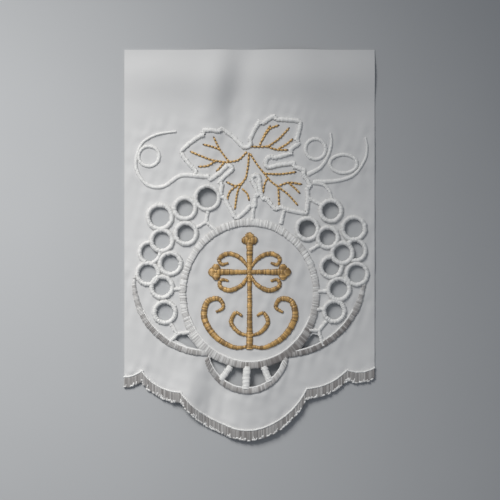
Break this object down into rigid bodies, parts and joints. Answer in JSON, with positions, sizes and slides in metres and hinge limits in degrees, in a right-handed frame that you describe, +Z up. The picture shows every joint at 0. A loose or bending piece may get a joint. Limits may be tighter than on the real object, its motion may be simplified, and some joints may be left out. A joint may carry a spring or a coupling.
{
  "type": "altar cloth border, cut length",
  "caption": "Cut length of white altar cloth lying in soft folds, with a scalloped satin hem, cutwork grapes, a vine leaf and a gold cross in an oval.",
  "frame": {"origin": "on the table, under the middle of the cloth's outline", "axes": "+Y from the scalloped hem to the plain cut end, +Z up out of the face of the cloth"},
  "size_m": [0.15, 0.2339, 0.0063],
  "materials": {
    "white_cloth": "matt white weave with white satin stitch",
    "gold_thread": "lustrous gold satin stitch"
  },
  "bodies": {
    "root": {"cloth": "white_cloth", "gold_cross": "gold_thread"}
  },
  "joints": []
}
